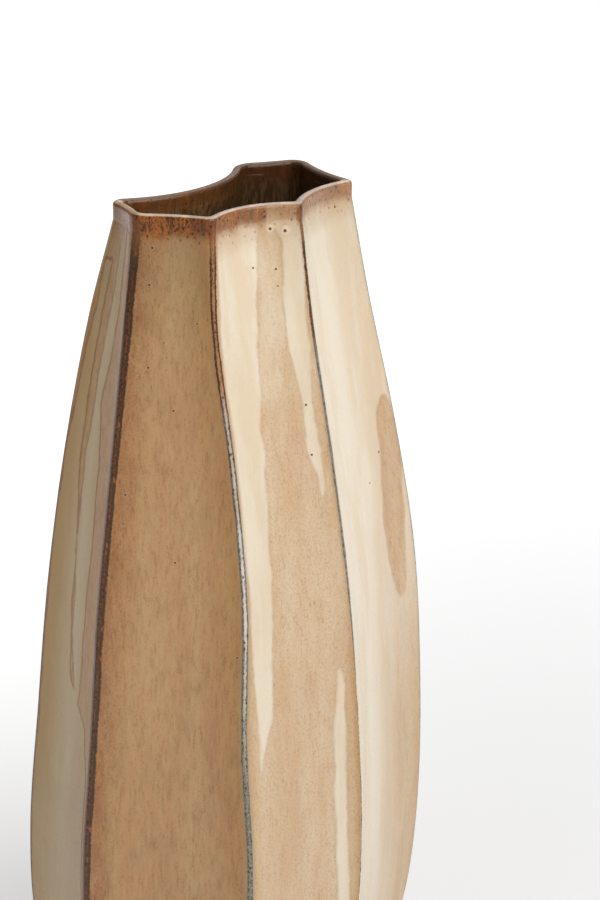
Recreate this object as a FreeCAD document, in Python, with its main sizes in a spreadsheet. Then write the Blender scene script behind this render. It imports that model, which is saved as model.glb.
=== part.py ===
import FreeCAD, Part
import math
import os
import Sketcher

# Pillow vase: a bare stoneware foot slab, the glazed fluted wall that stands on it, and the
# iron glaze that rolls over the rim, all fused in one firing.
# Millimetres, +Z up, +X along the wide way of the flattened body, origin on the ground
# under the middle of the body. Seven ridges, a to g, climb from the foot to the rim in
# anticlockwise order, and the panel between each two is pressed in.

os.makedirs("parts", exist_ok=True)
doc = FreeCAD.newDocument("pillow_vase")

# Lengths of the whole vase
SIZES = {
    "height": 400,
    "belly_half_width": 95.5,
    "belly_half_depth": 68.7,
    "mouth_half_width": 55,
    "mouth_half_depth": 37,
    "foot_half_width": 74,
    "foot_half_depth": 53,
    "rim_wall": 3.2,
    "base_wall": 5.5,
    "floor_clay": 6.5,
    "floor_cove": 5,
    "foot_recess": 2.5,
    "foot_ring": 8,
    "foot_bevel": 1.2,
    "outer_coat": 0.5,
    "liner_coat": 0.4,
    "lip_round": 1.9,
    "lip_dip": 8,
    "glaze_line": 5,
    "valley_round": 3,
    # Radius of the ridges' noses at each station of the body
    "foot_nose": 7,
    "heel_nose": 4.5,
    "hip_nose": 2.4,
    "belly_nose": 1.8,
    "waist_nose": 1.8,
    "chest_nose": 1.8,
    "shoulder_nose": 1.9,
    "neck_nose": 2.2,
    # At the rim each ridge has a nose radius of its own
    "mouth_nose_a": 5,
    "mouth_nose_b": 9,
    "mouth_nose_c": 4.5,
    "mouth_nose_d": 2.6,
    "mouth_nose_e": 3.2,
    "mouth_nose_f": 8.5,
    "mouth_nose_g": 11,
}

RIDGES = "abcdefg"

# Turns of the lip's quarter circle, in degrees, where it has a section
LIP_TURNS = [45, 90]

# Height of each station as a share of the vase's height
LEVEL_SHARES = {
    "heel": 0.06, "hip": 0.15, "belly": 0.275, "waist": 0.425,
    "chest": 0.575, "shoulder": 0.725, "neck": 0.875,
}
# How far each station has swollen towards the belly, from the foot below it and the mouth above
WIDTH_SHARES = {
    "foot": 0, "heel": 0.4, "hip": 0.86, "belly": 1,
    "waist": 0.93, "chest": 0.807, "shoulder": 0.57, "neck": 0.25, "mouth": 0,
}
DEPTH_SHARES = {
    "foot": 0, "heel": 0.4, "hip": 0.86, "belly": 1,
    "waist": 0.935, "chest": 0.8, "shoulder": 0.54, "neck": 0.22, "mouth": 0,
}
# The hand-built body leans: shift of each station along X over the belly's half width
LEAN_SHARES = {
    "foot": 0.001, "heel": 0.001, "hip": 0.001, "belly": 0.021,
    "waist": 0.052, "chest": 0.067, "shoulder": 0.065, "neck": 0.067, "mouth": 0.095,
}
# How much of the rim's own shape each station has, and of the rim's soft noses
RIM_SHARES = {
    "foot": 0, "heel": 0, "hip": 0, "belly": 0,
    "waist": 0, "chest": 0.03, "shoulder": 0.15, "neck": 0.5, "mouth": 1,
}
SOFT_SHARES = {"neck": 0.25, "mouth": 1}
# How far each ridge stands out from the rim's ellipse, over the ellipse's radius
REACH_SHARES = {"a": 0.03, "b": 0.065, "c": 0.1, "d": -0.085, "e": -0.01, "f": 0.27, "g": 0.18}
# Depth of each panel over the distance between its ridges: ab, bc, cd, de, ef, fg, ga
PRESS_SHARES = {
    "foot": [0.02, 0.02, 0.02, 0.02, 0.02, 0.02, 0.02],
    "heel": [0.03, 0.03, 0.03, 0.03, 0.03, 0.03, 0.03],
    "hip": [0.04, 0.045, 0.05, 0.05, 0.045, 0.045, 0.06],
    "belly": [0.04, 0.045, 0.05, 0.05, 0.045, 0.045, 0.06],
    "waist": [0.04, 0.045, 0.05, 0.05, 0.045, 0.045, 0.06],
    "chest": [0.04, 0.045, 0.055, 0.055, 0.045, 0.045, 0.07],
    "shoulder": [0.04, 0.045, 0.06, 0.06, 0.045, 0.04, 0.09],
    "neck": [0.04, 0.045, 0.09, 0.08, 0.05, 0.03, 0.13],
    "mouth": [0.03, 0.04, 0.16, 0.11, 0.05, 0.02, 0.17],
}
# Angle of each ridge, in degrees from +X on the station's ellipse: a, b, c, d, e, f, g
BEARING_ANGLES = {
    "foot": [161, 205, 257, 293, 336, 398, 450],
    "heel": [161, 205, 257, 293, 336, 398, 450],
    "hip": [161, 204, 256, 292, 336, 398, 450],
    "belly": [161, 204, 255, 291, 336, 398, 450],
    "waist": [161, 204, 252, 288.5, 336, 398, 449],
    "chest": [161.5, 204, 252, 286.5, 336, 399, 446],
    "shoulder": [162, 205, 249.5, 286, 337, 400, 442],
    "neck": [163, 204, 243, 286, 339, 402, 433],
    "mouth": [165, 198, 237.5, 286, 345, 405, 421],
}
# Shares of the stations round it that make a section between two others: by a smooth curve
# through four stations or three, or straight up a ridge to a level on it
SMOOTH_SHARES = [-0.0625, 0.5625, 0.5625, -0.0625]
END_SHARES = [-0.125, 0.75, 0.375]

# Sheet of driving numbers
numbers = dict(SIZES)
share_tables = {
    "level_share": LEVEL_SHARES, "width_share": WIDTH_SHARES, "depth_share": DEPTH_SHARES,
    "lean_share": LEAN_SHARES, "rim_share": RIM_SHARES, "soft_share": SOFT_SHARES,
}
for label, shares in share_tables.items():
    numbers.update({f"{station}_{label}": share for station, share in shares.items()})
numbers.update({f"reach_share_{ridge}": share for ridge, share in REACH_SHARES.items()})
for station in PRESS_SHARES:
    for ridge, share, angle in zip(RIDGES, PRESS_SHARES[station], BEARING_ANGLES[station]):
        numbers[f"{station}_press_share_{ridge}"] = share
        numbers[f"{station}_angle_{ridge}"] = angle
sheet = doc.addObject("Spreadsheet::Sheet", "Sizes")
for row, (alias, number) in enumerate(numbers.items(), start=1):
    sheet.set(f"A{row}", alias)
    sheet.set(f"B{row}", str(number))
    sheet.setAlias(f"B{row}", alias)
doc.recompute()

# Levels of the nine shaped stations and of the edges that the pieces need
LEVELS = {station: f"(Sizes.height * Sizes.{station}_level_share)" for station in LEVEL_SHARES}
LEVELS["foot"] = "Sizes.foot_bevel"
LEVELS["line"] = "Sizes.glaze_line"
LEVELS["floor"] = "(Sizes.foot_recess + Sizes.floor_clay)"
LEVELS["dip"] = "(Sizes.height - Sizes.lip_dip)"
LEVELS["mouth"] = "(Sizes.height - Sizes.lip_round)"


def value(expression):
    """Number that an expression has now."""
    number = sheet.evalExpression(expression)
    return float(getattr(number, "Value", number))


def half_size(station, way):
    """Half width or half depth of a station's ellipse."""
    end = "foot" if station in ("foot", "heel", "hip") else "mouth"
    start = f"Sizes.{end}_half_{way}"
    return f"({start} + (Sizes.belly_half_{way} - {start}) * Sizes.{station}_{way}_share)"


def nose_radius(station, ridge):
    """Radius of a ridge's nose on the glazed outside."""
    if station == "mouth":
        return f"Sizes.mouth_nose_{ridge}"
    plain = f"Sizes.{station}_nose"
    if station in SOFT_SHARES:
        return f"({plain} + (Sizes.mouth_nose_{ridge} - {plain}) * Sizes.{station}_soft_share)"
    return plain


def wall(station):
    """Clay wall, thick at the foot and thin at the rim."""
    return f"(Sizes.rim_wall + (Sizes.base_wall - Sizes.rim_wall) * (1 - {LEVELS[station]} / Sizes.height))"


def meeting_point(first, second, first_distance, second_distance, side):
    """Point at two given distances from two centres, to the right (1) or left (-1) of their line."""
    span = (second - first).Length
    along = (second - first) / span
    across = FreeCAD.Vector(along.y, -along.x, 0) * side
    foot = (span ** 2 + first_distance ** 2 - second_distance ** 2) / (2 * span)
    return first + along * foot + across * math.sqrt(first_distance ** 2 - foot ** 2)


def arc(centre, radius, start, end):
    """Anticlockwise arc between the directions of two points."""
    angles = [math.atan2(point.y - centre.y, point.x - centre.x) for point in (start, end)]
    if angles[1] < angles[0]:
        angles[1] += 2 * math.pi
    circle = Part.Circle(centre, FreeCAD.Vector(0, 0, 1), radius)
    return Part.ArcOfCircle(circle, *angles)


def ring_parts(prefix, noses, flutes, driven, crisp, first):
    """Edges, constraints and expressions of one ring, numbered from a first edge.

    Seven nose arcs and seven long flute arcs, each tangent to the next. noses and flutes are
    lists of (x, y, radius) expressions. Only the centres of the driven kind are set, and
    tangency finds the others. A crisp ridge is planed off along the chord of its nose.
    """
    count = len(RIDGES)
    nose_radii = [value(radius) for x, y, radius in noses]
    flute_radii = [value(radius) for x, y, radius in flutes]
    following = [(i + 1) % count for i in range(count)]
    reach = [[nose_radii[i] + flute_radii[i], nose_radii[following[i]] + flute_radii[i]] for i in range(count)]
    if driven == "nose":
        nose_centres = [FreeCAD.Vector(value(x), value(y), 0) for x, y, radius in noses]
        flute_centres = [
            meeting_point(nose_centres[i], nose_centres[following[i]], *reach[i], 1) for i in range(count)
        ]
    else:
        flute_centres = [FreeCAD.Vector(value(x), value(y), 0) for x, y, radius in flutes]
        nose_centres = [
            meeting_point(flute_centres[i - 1], flute_centres[i], reach[i - 1][1], reach[i][0], -1)
            for i in range(count)
        ]
    edges = []
    constraints = []
    expressions = {}

    def add_driven(name, expression, *arguments):
        """Named dimension that follows an expression."""
        constraint = Sketcher.Constraint(*arguments)
        constraint.Name = name
        constraints.append(constraint)
        expressions[f"Constraints.{name}"] = expression

    for i in range(count):
        nose = first + 2 * i
        after = following[i]
        edges.append((arc(nose_centres[i], nose_radii[i], flute_centres[i - 1], flute_centres[i]), crisp))
        edges.append((arc(flute_centres[i], flute_radii[i], nose_centres[after], nose_centres[i]), False))
        constraints.append(Sketcher.Constraint("Tangent", nose, 2, nose + 1, 2))
        constraints.append(Sketcher.Constraint("Tangent", nose + 1, 1, first + 2 * after, 1))
    if crisp:
        for i in range(count):
            ends = (edges[2 * i][0].StartPoint, edges[2 * i][0].EndPoint)
            edges.append((Part.LineSegment(*ends), False))
            land = first + 2 * count + i
            for end in (1, 2):
                constraints.append(Sketcher.Constraint("Coincident", land, end, first + 2 * i, end))
    centres = {"nose": nose_centres, "flute": flute_centres}
    for i, ridge in enumerate(RIDGES):
        for kind, arcs, radii in (("nose", noses, nose_radii), ("flute", flutes, flute_radii)):
            edge = first + 2 * i + (kind == "flute")
            x, y, radius = arcs[i]
            name = f"{prefix}{kind}_{ridge}"
            add_driven(f"{name}_radius", radius, "Radius", edge, radii[i])
            if kind == driven:
                add_driven(f"{name}_x", x, "DistanceX", -1, 1, edge, 3, centres[kind][i].x)
                add_driven(f"{name}_y", y, "DistanceY", -1, 1, edge, 3, centres[kind][i].y)
    return edges, constraints, expressions


def ring_sketch(body, name, height, rings):
    """Sketch of one closed ring, or of an outer and an inner one, at a height.

    Each ring is (prefix of its dimensions' names, noses, flutes, driven, crisp).
    """
    sketch = body.newObject("Sketcher::SketchObject", name)
    ground = next(plane for plane in body.Origin.OriginFeatures if plane.Role == "XY_Plane")
    sketch.AttachmentSupport = (ground, "")
    sketch.MapMode = "FlatFace"
    sketch.setExpression("AttachmentOffset.Base.z", height)
    for ring in rings:
        edges, constraints, expressions = ring_parts(*ring, sketch.GeometryCount)
        for edge, helper in edges:
            sketch.addGeometry(edge, helper)
        sketch.addConstraint(constraints)
        for dimension, expression in expressions.items():
            sketch.setExpression(dimension, expression)
    return sketch


def read_back_flutes(sketch):
    """Reference dimensions of the glazed ring's flute centres, for the rings inside to share."""
    constraints = []
    for i, ridge in enumerate(RIDGES):
        centre = sketch.Geometry[2 * i + 1].Center
        for axis, place in (("X", centre.x), ("Y", centre.y)):
            constraint = Sketcher.Constraint(f"Distance{axis}", -1, 1, 2 * i + 1, 3, place)
            constraint.Name = f"flute_{ridge}_{axis.lower()}"
            constraints.append(constraint)
    start = sketch.ConstraintCount
    sketch.addConstraint(constraints)
    for index in range(start, sketch.ConstraintCount):
        sketch.setDriving(index, False)


def shaped_ring(station):
    """Noses and flutes of the glazed outside at one of the nine shaped stations."""
    noses = []
    for ridge in RIDGES:
        angle = f"Sizes.{station}_angle_{ridge}"
        stretch = f"(1 + Sizes.reach_share_{ridge} * Sizes.{station}_rim_share)"
        radius = nose_radius(station, ridge)
        lean = f"Sizes.belly_half_width * Sizes.{station}_lean_share"
        x = f"({half_size(station, 'width')} * {stretch} - {radius}) * cos({angle}) + {lean}"
        y = f"({half_size(station, 'depth')} * {stretch} - {radius}) * sin({angle})"
        noses.append((x, y, radius))
    flutes = []
    for i, ridge in enumerate(RIDGES):
        x, y, radius = noses[i]
        next_x, next_y, next_radius = noses[(i + 1) % len(RIDGES)]
        press = f"Sizes.{station}_press_share_{ridge}"
        span = f"hypot(({next_x}) - ({x}); ({next_y}) - ({y}))"
        bend = f"{span} * (1 / (8 * {press}) + {press} / 2)"
        flutes.append((None, None, f"{bend} - ({radius} + {next_radius}) / 2"))
    return noses, flutes


def blended_ring(shares):
    """Noses and flutes between other stations: a share of each one's noses and flute curvatures."""

    masters = [(share, f"glazed_{station}.Constraints") for station, share in shares.items()]

    def blend(name):
        """Sum of the shares of one dimension."""
        return " + ".join(f"({share}) * {master}.{name}" for share, master in masters)

    noses = [tuple(blend(f"nose_{ridge}_{size}") for size in ("x", "y", "radius")) for ridge in RIDGES]
    flutes = []
    for ridge in RIDGES:
        curvature = " + ".join(f"({share}) / {master}.flute_{ridge}_radius" for share, master in masters)
        flutes.append((None, None, f"1 / ({curvature})"))
    return noses, flutes


def inset_ring(station, inset, driven):
    """Noses and flutes a given inset inside the glazed outside: same flute centres, so an even wall.

    Driven by its noses the ring keeps their centres too. Driven by its flutes its noses are
    the rounded valleys that lie behind the ridges.
    """
    master = f"glazed_{station}.Constraints."
    noses = []
    flutes = []
    for ridge in RIDGES:
        nose = f"({master}nose_{ridge}_radius - ({inset}) * 1mm)"
        if driven == "flute":
            nose = f"max({nose}; Sizes.valley_round * 1mm)"
        noses.append((f"{master}nose_{ridge}_x", f"{master}nose_{ridge}_y", nose))
        flute = f"{master}flute_{ridge}_radius + ({inset}) * 1mm"
        flutes.append((f"{master}flute_{ridge}_x", f"{master}flute_{ridge}_y", flute))
    return noses, flutes


def is_crisp(station):
    """Whether a station's ridges are crisp lands, and not the soft corners of the neck and rim."""
    return station not in SOFT


def outline(station, ring):
    """Outside of the glaze at a station, which every ring of the pieces is offset from."""
    rings = [("", *ring, "nose", is_crisp(station))]
    sketch = ring_sketch(fluted_wall, f"glazed_{station}", LEVELS[station], rings)
    read_back_flutes(sketch)


def section(body, form, station, *rings, height=None):
    """Section of a piece at a station: rings given as (inset, driven), the outer one first."""
    drawn = []
    for prefix, (inset, driven) in zip(("outer_", "inner_"), rings):
        drawn.append((prefix, *inset_ring(station, inset, driven), driven, is_crisp(station)))
    return ring_sketch(body, f"{form}_{station}", height or LEVELS[station], drawn)


def loft(body, name, kind, sections):
    """Skin stretched straight from section to section, added to the body or cut from it."""
    doc.recompute()
    before = body.Tip.Shape.Volume if body.Tip else 0
    feature = body.newObject(f"PartDesign::{kind}Loft", name)
    feature.Profile = (sections[0], [""])
    feature.Sections = [(part, [""]) for part in sections[1:]]
    feature.Ruled = True
    doc.recompute()
    change = feature.Shape.Volume - before
    if change * (1 if kind == "Additive" else -1) <= 0:
        raise RuntimeError(f"{name} changes nothing")
    return feature


# Stations from the ground up, with a section between each two shaped ones
SHAPED = ["foot", "heel", "hip", "belly", "waist", "chest", "shoulder", "neck", "mouth"]
SOFT = ["neck", "neck_mouth", "dip", "mouth"]
fluted_wall = doc.addObject("PartDesign::Body", "fluted_wall")
for station in SHAPED:
    outline(station, shaped_ring(station))
    doc.recompute()
blends = {}
for i in range(1, len(SHAPED) - 1):
    name = f"{SHAPED[i]}_{SHAPED[i + 1]}"
    LEVELS[name] = f"({LEVELS[SHAPED[i]]} + {LEVELS[SHAPED[i + 1]]}) / 2"
    around = SHAPED[i - 1:i + 3]
    shares = SMOOTH_SHARES if len(around) == len(SMOOTH_SHARES) else END_SHARES
    blends[name] = dict(zip(around, shares))
for name in ("line", "floor"):
    climb = f"({LEVELS[name]} - {LEVELS['foot']}) / ({LEVELS['heel']} - {LEVELS['foot']})"
    blends[name] = {"foot": f"1 - {climb}", "heel": climb}
blends["dip"] = {"mouth": 1}
for name, shares in blends.items():
    outline(name, blended_ring(shares))
    doc.recompute()
order = sorted(LEVELS, key=lambda station: value(LEVELS[station]))
print("stations:", ", ".join(order))

# Insets from the glazed outside of the clay, of the clay's bore and of the glaze that lines it
clay = ("Sizes.outer_coat", "nose")
bore = {station: f"Sizes.outer_coat + {wall(station)}" for station in order}
bore["dip"] = bore["mouth"]
lined = {station: f"{bore[station]} + Sizes.liner_coat" for station in order}

# Foot slab: bare stoneware up to the glaze line, bevelled at the sole and hollowed underneath
foot_slab = doc.addObject("PartDesign::Body", "foot_slab")
slab_sections = [
    section(foot_slab, "sole", "foot", ("Sizes.outer_coat + Sizes.foot_bevel", "nose"), height="0"),
    section(foot_slab, "slab", "foot", clay),
    section(foot_slab, "slab", "line", clay),
]
loft(foot_slab, "slab_skin", "Additive", slab_sections)
recess = section(foot_slab, "recess", "foot", ("Sizes.outer_coat + Sizes.foot_ring", "flute"), height="0")
before = foot_slab.Tip.Shape.Volume
foot_recess = foot_slab.newObject("PartDesign::Pocket", "foot_recess")
foot_recess.Profile = recess
foot_recess.Reversed = True
foot_recess.setExpression("Length", "Sizes.foot_recess")
doc.recompute()
if foot_recess.Shape.Volume >= before:
    raise RuntimeError("foot_recess cuts nothing")

# Fluted wall: the floor, then the hollow wall up to the rim glaze, then the bare clay rim under it
outside = ("0", "nose")
floor_sections = [section(fluted_wall, "under", station, outside) for station in ("line", "floor")]
loft(fluted_wall, "floor_skin", "Additive", floor_sections)
wall_sections = [
    section(fluted_wall, "wall", "floor", outside, (lined["floor"] + " + Sizes.floor_cove", "flute"))
]
for station in order[order.index("floor") + 1:order.index("dip") + 1]:
    wall_sections.append(section(fluted_wall, "wall", station, outside, (lined[station], "flute")))
loft(fluted_wall, "wall_skin", "Additive", wall_sections)


def rim_sections(body, form, outer, inner):
    """Sections of the straight rim, from the dip of its glaze up to where the lip rounds over."""
    return [section(body, form, station, outer, inner) for station in ("dip", "mouth")]


loft(fluted_wall, "rim_skin", "Additive", rim_sections(fluted_wall, "rim", clay, (bore["mouth"], "flute")))

# Rim glaze: the iron-brown coat over the lip, down to the same level outside and inside
rim_glaze = doc.addObject("PartDesign::Body", "rim_glaze")
coat_sections = rim_sections(rim_glaze, "coat", outside, (lined["mouth"], "flute"))
for turn in LIP_TURNS:
    height = f"{LEVELS['mouth']} + Sizes.lip_round * sin({turn})"
    drawn_in = f"Sizes.lip_round * (1 - cos({turn}))"
    rings = ((drawn_in, "nose"), (f"{lined['mouth']} - {drawn_in}", "flute"))
    coat_sections.append(section(rim_glaze, f"lip_{turn}", "mouth", *rings, height=height))
loft(rim_glaze, "coat_skin", "Additive", coat_sections)
loft(rim_glaze, "clay_gap", "Subtractive", rim_sections(rim_glaze, "gap", clay, (bore["mouth"], "flute")))

for thing in doc.Objects:
    if {"Invalid", "Error"} & set(thing.State):
        raise RuntimeError(f"{thing.Label} did not build: {thing.State}")
for node in (foot_slab, fluted_wall, rim_glaze):
    if node.Shape.isNull() or not node.Shape.isValid():
        raise RuntimeError(f"{node.Label} has no valid shape")
    box = node.Shape.BoundBox
    print(f"{node.Label}: {len(node.Shape.Solids)} solid, {node.Shape.Volume / 1000:.1f} cm3, "
          f"{box.XLength:.1f} x {box.YLength:.1f} x {box.ZLength:.1f} mm")
    node.Shape.exportStep(f"parts/{node.Label}.step")
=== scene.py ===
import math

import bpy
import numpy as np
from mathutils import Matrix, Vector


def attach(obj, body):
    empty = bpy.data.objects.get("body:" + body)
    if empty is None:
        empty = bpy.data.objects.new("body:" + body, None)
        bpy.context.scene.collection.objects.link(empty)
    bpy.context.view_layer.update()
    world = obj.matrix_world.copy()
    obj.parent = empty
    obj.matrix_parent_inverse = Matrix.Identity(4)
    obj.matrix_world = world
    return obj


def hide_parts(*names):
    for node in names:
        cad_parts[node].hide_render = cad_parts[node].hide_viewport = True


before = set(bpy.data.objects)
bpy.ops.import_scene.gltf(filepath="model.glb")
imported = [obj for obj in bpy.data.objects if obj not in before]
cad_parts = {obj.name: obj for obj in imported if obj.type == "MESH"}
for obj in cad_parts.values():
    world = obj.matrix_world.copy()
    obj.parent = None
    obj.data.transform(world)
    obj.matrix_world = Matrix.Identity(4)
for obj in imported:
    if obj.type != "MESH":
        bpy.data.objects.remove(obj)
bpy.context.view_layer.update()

# %% [markdown]
# # A stoneware pillow vase
# This lesson builds the look of a hand-built stoneware vase around its imported CAD model.
# The CAD nodes stay where they are. Each one is replaced on screen by a finer mesh that rides
# on the same rigid body, with glaze runs, pinholes and a rounded, glazed lip. We first note how
# large the CAD model is.

# %% [markdown]
# ## Sizes
# All sizes are in millimetres, as in the CAD part, and `MM` turns them into metres. Belly, mouth
# and foot are half widths and half depths. The lip's round, the coat of glaze outside, the liner
# inside and the foot ring are small, but a pot without them looks like a paper cut-out.

# %% Sizes of the vase
MM = 0.001
HEIGHT = 400.0
# where the glaze ends above the foot, and the floor of the cavity
GLAZE_LINE = 5.0
FLOOR_TOP = 9.0
# round of the lip, and how far the iron rim reaches down
LIP_ROUND = 1.9
LIP_DIP = 8.0
# thickness of the glaze outside and inside, and of the clay at the rim and at the base
COAT = 0.5
LINER = 0.4
RIM_WALL = 3.2
BASE_WALL = 5.5
# the soft turn from wall to floor, and the smallest radius behind a ridge
FLOOR_COVE = 5.0
COVE_HEIGHT = 15.0
VALLEY = 3.0
# bevel around the foot, width of the ring it stands on, and depth of the recess
FOOT_BEVEL = 1.2
FOOT_RING = 8.0
FOOT_RECESS = 2.5
BELLY = (95.5, 68.7)
MOUTH = (55.0, 37.0)
FOOT = (74.0, 53.0)
RIDGES = 7
print("height in mm:", HEIGHT, "belly:", BELLY, "mouth:", MOUTH)

# %% [markdown]
# ## Shape at nine heights
# The vase has seven ridges, a to g, that turn and lean as they climb. At each of nine heights
# the tables give how wide the body is, at which angle the ridges stand, how round their noses
# are, and how deeply the panels between them are pressed in, as a share of their width.

# %% Shape of the body at nine heights
# level, half size of the end it swells from, swelling in width and depth, lean, share of the rim
STATIONS = [
    ("foot", 1.2, FOOT, 0, 0, 0.001, 0), ("heel", 24, FOOT, 0.4, 0.4, 0.001, 0),
    ("hip", 60, FOOT, 0.86, 0.86, 0.001, 0), ("belly", 110, MOUTH, 1, 1, 0.021, 0),
    ("waist", 170, MOUTH, 0.93, 0.935, 0.052, 0), ("chest", 230, MOUTH, 0.807, 0.8, 0.067, 0.03),
    ("shoulder", 290, MOUTH, 0.57, 0.54, 0.065, 0.15), ("neck", 350, MOUTH, 0.25, 0.22, 0.067, 0.5),
    ("mouth", 392, MOUTH, 0, 0, 0.095, 1),
]
# nose radius of every ridge at each station, and the share by which it has become MOUTH_NOSE
NOSE = [7, 4.5, 2.4, 1.8, 1.8, 1.8, 1.9, 2.2, 0]
SOFT = [0, 0, 0, 0, 0, 0, 0, 0.25, 1]
# per ridge a to g at the mouth: nose radius, and how far it reaches beyond the oval
MOUTH_NOSE = np.array([5, 9, 4.5, 2.6, 3.2, 8.5, 11.0])
REACH = np.array([0.03, 0.065, 0.1, -0.085, -0.01, 0.27, 0.18])
# per station and panel: depth of the flute as a share of its width
PRESS = np.array([
    [0.02] * 7, [0.03] * 7,
    [0.04, 0.045, 0.05, 0.05, 0.045, 0.045, 0.06], [0.04, 0.045, 0.05, 0.05, 0.045, 0.045, 0.06],
    [0.04, 0.045, 0.05, 0.05, 0.045, 0.045, 0.06], [0.04, 0.045, 0.055, 0.055, 0.045, 0.045, 0.07],
    [0.04, 0.045, 0.06, 0.06, 0.045, 0.04, 0.09], [0.04, 0.045, 0.09, 0.08, 0.05, 0.03, 0.13],
    [0.03, 0.04, 0.16, 0.11, 0.05, 0.02, 0.17],
])
# per station and ridge: where the ridge stands on the oval, in degrees
ANGLES = np.array([
    [161, 205, 257, 293, 336, 398, 450], [161, 205, 257, 293, 336, 398, 450],
    [161, 204, 256, 292, 336, 398, 450], [161, 204, 255, 291, 336, 398, 450],
    [161, 204, 252, 288.5, 336, 398, 449], [161.5, 204, 252, 286.5, 336, 399, 446],
    [162, 205, 249.5, 286, 337, 400, 442], [163, 204, 243, 286, 339, 402, 433],
    [165, 198, 237.5, 286, 345, 405, 421],
])
print("stations:", [station[0] for station in STATIONS])

# %% [markdown]
# ## One ring of the body
# The body could be sculpted, or pulled from a box with a subdivision modifier, but its ridges
# would wander and its size would be a matter of luck. Rings that are worked out keep both exact.
# A ring is seven small nose arcs joined by seven long flute arcs that bend inwards. Each nose
# arc touches its two flutes. We keep the centres of the noses, their radii and the curvature
# of the flutes as one row of numbers, so that rows can be blended up the height of the vase.

# %% Rows of ring numbers, blended smoothly with height
def station_row(number):
    """Nose centres, nose radii and flute curvatures of one station, as 28 numbers."""
    name, level, end, wide, deep, lean, rim = STATIONS[number]
    half_width = end[0] + (BELLY[0] - end[0]) * wide
    half_depth = end[1] + (BELLY[1] - end[1]) * deep
    angle = np.radians(ANGLES[number])
    nose = NOSE[number] + (MOUTH_NOSE - NOSE[number]) * SOFT[number]
    stretch = 1 + REACH * rim
    x = (half_width * stretch - nose) * np.cos(angle) + BELLY[0] * lean
    y = (half_depth * stretch - nose) * np.sin(angle)
    span = np.hypot(np.roll(x, -1) - x, np.roll(y, -1) - y)
    press = PRESS[number]
    flute = span * (1 / (8 * press) + press / 2) - (nose + np.roll(nose, -1)) / 2
    return np.concatenate([x, y, nose, 1 / flute])


LEVELS = np.array([station[1] for station in STATIONS], float)
ROWS = np.array([station_row(number) for number in range(len(STATIONS))])
SLOPES = np.empty_like(ROWS)
SLOPES[1:-1] = (ROWS[2:] - ROWS[:-2]) / (LEVELS[2:] - LEVELS[:-2])[:, None]
SLOPES[0] = (ROWS[1] - ROWS[0]) / (LEVELS[1] - LEVELS[0])
SLOPES[-1] = (ROWS[-1] - ROWS[-2]) / (LEVELS[-1] - LEVELS[-2])


def row_at(z):
    """Ring numbers at a height: a smooth curve through the stations, straight above the last."""
    z = min(max(z, LEVELS[0]), LEVELS[-1])
    i = min(max(int(np.searchsorted(LEVELS, z)) - 1, 0), len(LEVELS) - 2)
    step = LEVELS[i + 1] - LEVELS[i]
    t = (z - LEVELS[i]) / step
    return ((2 * t ** 3 - 3 * t ** 2 + 1) * ROWS[i] + (t ** 3 - 2 * t ** 2 + t) * step * SLOPES[i]
            + (3 * t ** 2 - 2 * t ** 3) * ROWS[i + 1] + (t ** 3 - t ** 2) * step * SLOPES[i + 1])


print("rows of ring numbers:", ROWS.shape)

# %% [markdown]
# ## The points of a ring
# The points of a ring are closer together near the ridges, where the surface bends most. An
# inset moves the whole ring inwards by an even amount. The rings of the cavity share the centres
# of the flutes, and behind each ridge they have a rounded valley, as a finger would leave it.

# %% Points of a ring
NOSE_STEPS = np.linspace(0, 1, 8)
even = np.linspace(0, 1, 37)[1:-1]
FLUTE_STEPS = 0.6 * even + 0.4 * (0.5 - 0.5 * np.cos(np.pi * even))
COLUMNS = len(NOSE_STEPS) + len(FLUTE_STEPS)
# the smooth skin swells a hair more between stations than the CAD loft does
SNUG = np.array([0.9984, 0.9965])


def meet(first, second, first_reach, second_reach, side):
    """Point at given distances from two centres, to the right (1) or left (-1) of their line."""
    span = np.hypot(*(second - first))
    along = (second - first) / span
    reach = (span ** 2 + first_reach ** 2 - second_reach ** 2) / (2 * span)
    across = np.array([along[1], -along[0]]) * side
    return first + along * reach + across * math.sqrt(first_reach ** 2 - reach ** 2)


print("steps on a nose and on a flute:", len(NOSE_STEPS), len(FLUTE_STEPS))

# %% [markdown]
# Arcs that touch leave no crease between nose and flute. The centre of a flute is where two
# circles around the neighbouring noses cross, which is school geometry. From there on each arc
# starts and ends on the line between two centres.

# %% A ring from its arcs
def ring_points(z, inset=0.0, inside=False):
    """Points of a ring in order, starting on ridge a, as an array of x and y."""
    row = row_at(z)
    centres = np.stack([row[:7], row[7:14]], axis=1)
    nose, flute = row[14:21], 1 / row[21:]
    flutes = []
    for i in range(RIDGES):
        after = (i + 1) % RIDGES
        flutes.append(meet(centres[i], centres[after], flute[i] + nose[i], flute[i] + nose[after], 1))
    flute = flute + inset
    nose = nose - inset
    if inside:
        nose = np.maximum(nose, VALLEY)
        centres = [meet(flutes[i - 1], flutes[i], flute[i - 1] + nose[i], flute[i] + nose[i], -1)
                   for i in range(RIDGES)]
    points = []
    for i in range(RIDGES):
        after = (i + 1) % RIDGES
        for centre, radius, start, end, steps, turn in (
            (centres[i], nose[i], flutes[i - 1], flutes[i], NOSE_STEPS, 1),
            (flutes[i], flute[i], centres[i], centres[after], FLUTE_STEPS, -1),
        ):
            first = math.atan2(start[1] - centre[1], start[0] - centre[0])
            last = math.atan2(end[1] - centre[1], end[0] - centre[0])
            sweep = (last - first) * turn % (2 * math.pi) * turn
            angle = first + sweep * steps
            points.append(centre + radius * np.stack([np.cos(angle), np.sin(angle)], axis=1))
    return np.concatenate(points) * SNUG


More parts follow.
